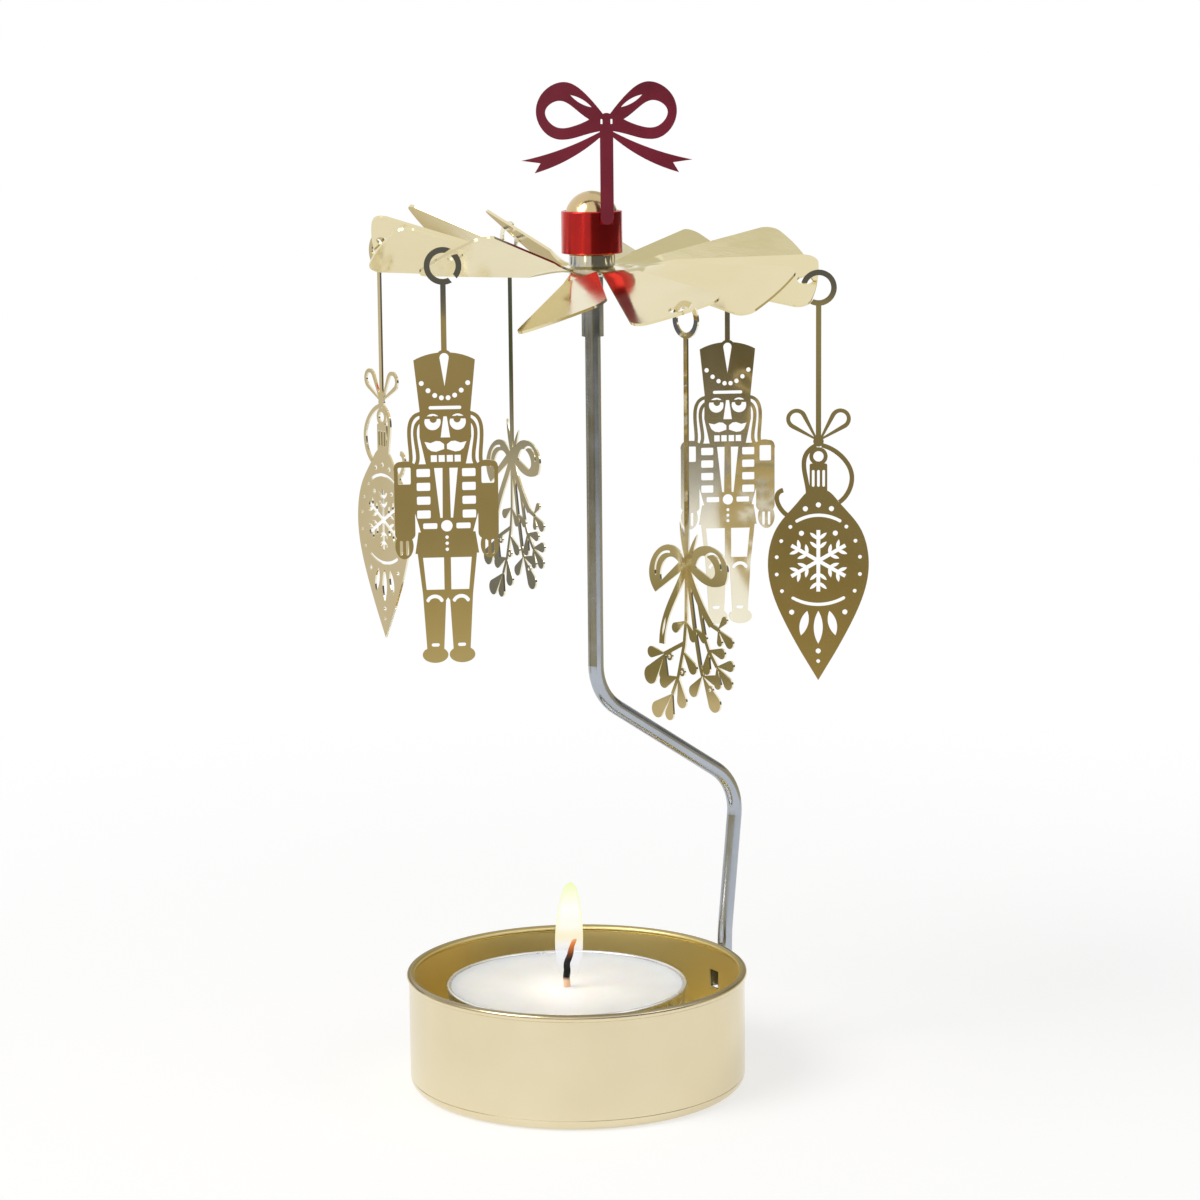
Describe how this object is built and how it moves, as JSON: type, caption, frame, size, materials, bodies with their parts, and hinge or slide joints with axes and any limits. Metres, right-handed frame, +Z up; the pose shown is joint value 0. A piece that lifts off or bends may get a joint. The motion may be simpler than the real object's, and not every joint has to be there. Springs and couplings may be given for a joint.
{
  "type": "angel chime carousel",
  "caption": "Candle carousel: a bladed wheel hung with cut-out ornaments turns on a needle-pointed wire above a tealight in a shallow tin cup, topped by a ribbon bow.",
  "frame": {"origin": "centre of the cup's underside", "axes": "+Z up along the turning axis's direction, -Y towards the viewer, +X to the viewer's right"},
  "size_m": [0.0801, 0.079, 0.1573],
  "materials": {
    "gold_tin": "satin gold-coloured tin",
    "steel_wire": "drawn wire",
    "aluminium_shell": "pressed foil",
    "plated_steel": "bright plated",
    "wax": "smooth white wax",
    "wick_cotton": "charred cotton",
    "brass_cap": "polished",
    "brass_sheet": "mirror-bright sheet",
    "red_lacquer": "glossy lacquer"
  },
  "bodies": {
    "stand": {"cup": "gold_tin", "stand_wire": "steel_wire"},
    "tealight": {"tealight_shell": "aluminium_shell", "wick_sustainer": "plated_steel", "tealight_wax": "wax", "wick": "wick_cotton"},
    "rotor": {"guide_tube": "plated_steel", "hub_collar": "plated_steel", "lock_ring": "plated_steel", "pivot_bearing": "plated_steel", "dome_cap": "brass_cap", "vane_wheel": "brass_sheet", "bow_band": "red_lacquer", "bow_topper": "red_lacquer"},
    "nutcracker_front": {"nutcracker_front": "brass_sheet"},
    "nutcracker_back": {"nutcracker_back": "brass_sheet"},
    "bauble_left": {"bauble_left": "brass_sheet"},
    "bauble_right": {"bauble_right": "brass_sheet"},
    "mistletoe_front": {"mistletoe_front": "brass_sheet"},
    "mistletoe_back": {"mistletoe_back": "brass_sheet"}
  },
  "joints": [
    {"name": "rotor_spin", "type": "hinge", "parent": "stand", "child": "rotor", "pos_m": [0.0035, 0, 0.129], "axis": [0, 0, 1], "continuous": true},
    {"name": "bauble_right_swing", "type": "hinge", "parent": "rotor", "child": "bauble_right", "pos_m": [0.038, -0.00369, 0.12604], "axis": [0, -1, 0], "range_deg": [-12, 12]},
    {"name": "nutcracker_back_swing", "type": "hinge", "parent": "rotor", "child": "nutcracker_back", "pos_m": [0.02454, 0.02646, 0.12772], "axis": [0.1132, -0.9936, 0], "range_deg": [-12, 12]},
    {"name": "mistletoe_back_swing", "type": "hinge", "parent": "rotor", "child": "mistletoe_back", "pos_m": [-0.01072, 0.03175, 0.13177], "axis": [-0.8387, -0.5446, 0], "range_deg": [-12, 12]},
    {"name": "bauble_left_swing", "type": "hinge", "parent": "rotor", "child": "bauble_left", "pos_m": [-0.02961, 0.00497, 0.13157], "axis": [0.809, 0.5878, 0], "range_deg": [-12, 12]},
    {"name": "nutcracker_front_swing", "type": "hinge", "parent": "rotor", "child": "nutcracker_front", "pos_m": [-0.01762, -0.02628, 0.13133], "axis": [0.1132, -0.9936, 0], "range_deg": [-12, 12]},
    {"name": "mistletoe_front_swing", "type": "hinge", "parent": "rotor", "child": "mistletoe_front", "pos_m": [0.01773, -0.03121, 0.12366], "axis": [-0.7547, -0.6561, 0], "range_deg": [-12, 12]},
    {"name": "tealight_lift", "type": "slide", "parent": "stand", "child": "tealight", "axis": [0, 0, 1], "range_m": [0, 0.02]}
  ]
}
